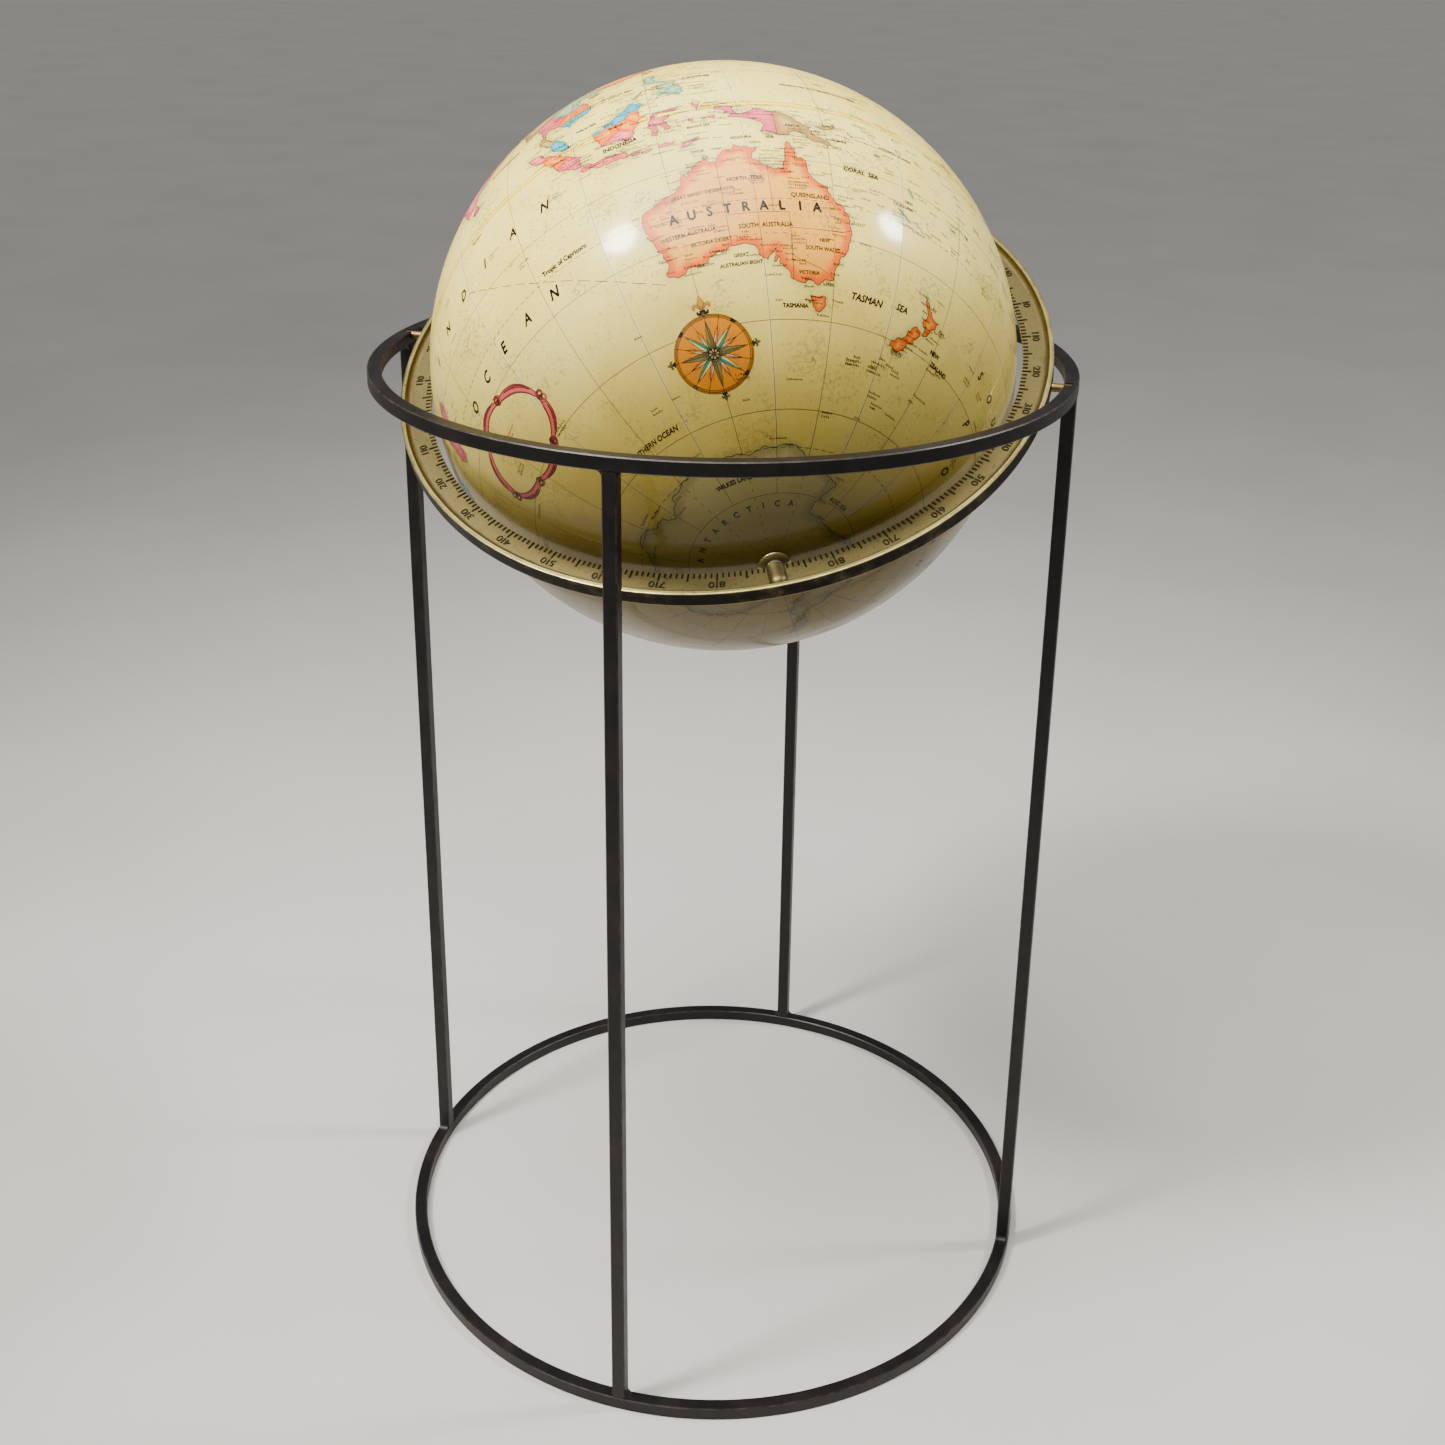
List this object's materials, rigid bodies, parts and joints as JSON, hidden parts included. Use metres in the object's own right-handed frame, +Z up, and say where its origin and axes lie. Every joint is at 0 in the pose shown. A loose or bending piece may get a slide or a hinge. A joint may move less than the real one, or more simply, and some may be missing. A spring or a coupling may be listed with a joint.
{
  "type": "floor-standing globe",
  "caption": "Terrestrial globe in a full brass meridian ring that rests by two pins in the top hoop of a slim four-legged steel floor stand.",
  "frame": {"origin": "on the floor at the middle of the base hoop, straight below the centre of the ball", "axes": "+Z up; +X along the pivot pins towards the right leg; the front leg is at -Y, and the ring's lower edge hangs towards it"},
  "size_m": [0.491, 0.491, 0.9126],
  "materials": {
    "blackened_steel": "thin blackened-bronze paint, satin",
    "antique_brass": "dark antique patina, rubbed on the scale",
    "pin_brass": "turned, dark patina",
    "ferrule_brass": "pressed, dull",
    "pale_nylon": "plain",
    "grey_chipboard": "pressed and raw",
    "varnished_paper": "printed and varnished, glossy",
    "printed_tape": "printed and varnished",
    "card_tube": "wound and raw",
    "turned_beech": "turned, unfinished"
  },
  "bodies": {
    "stand": {"top_hoop": "blackened_steel", "base_hoop": "blackened_steel", "leg_front": "blackened_steel", "leg_right": "blackened_steel", "leg_back": "blackened_steel", "leg_left": "blackened_steel"},
    "pivots": {"pivot_pin_right": "pin_brass", "pivot_pin_left": "pin_brass"},
    "ring": {"meridian_ring": "antique_brass", "pole_pin_north": "pin_brass", "pole_pin_south": "pin_brass", "pole_washer_north": "pale_nylon", "pole_washer_south": "pale_nylon"},
    "ball": {"north_hemisphere": "grey_chipboard", "south_hemisphere": "grey_chipboard", "north_map_gores": "varnished_paper", "south_map_gores": "varnished_paper", "equator_tape": "printed_tape", "joining_band": "grey_chipboard", "axis_tube": "card_tube", "pole_plug_north": "turned_beech", "pole_plug_south": "turned_beech", "pole_ferrule_north": "ferrule_brass", "pole_ferrule_south": "ferrule_brass"}
  },
  "joints": [
    {"name": "ring_lift", "type": "slide", "parent": "stand", "child": "pivots", "axis": [0, 0, 1], "range_m": [0, 0.3]},
    {"name": "ring_swing", "type": "hinge", "parent": "pivots", "child": "ring", "pos_m": [0, 0, 0.7092], "axis": [1, 0, 0], "continuous": true},
    {"name": "globe_spin", "type": "hinge", "parent": "ring", "child": "ball", "pos_m": [0, 0, 0.7092], "axis": [-0.3987, 0.8235, 0.4035], "continuous": true}
  ]
}
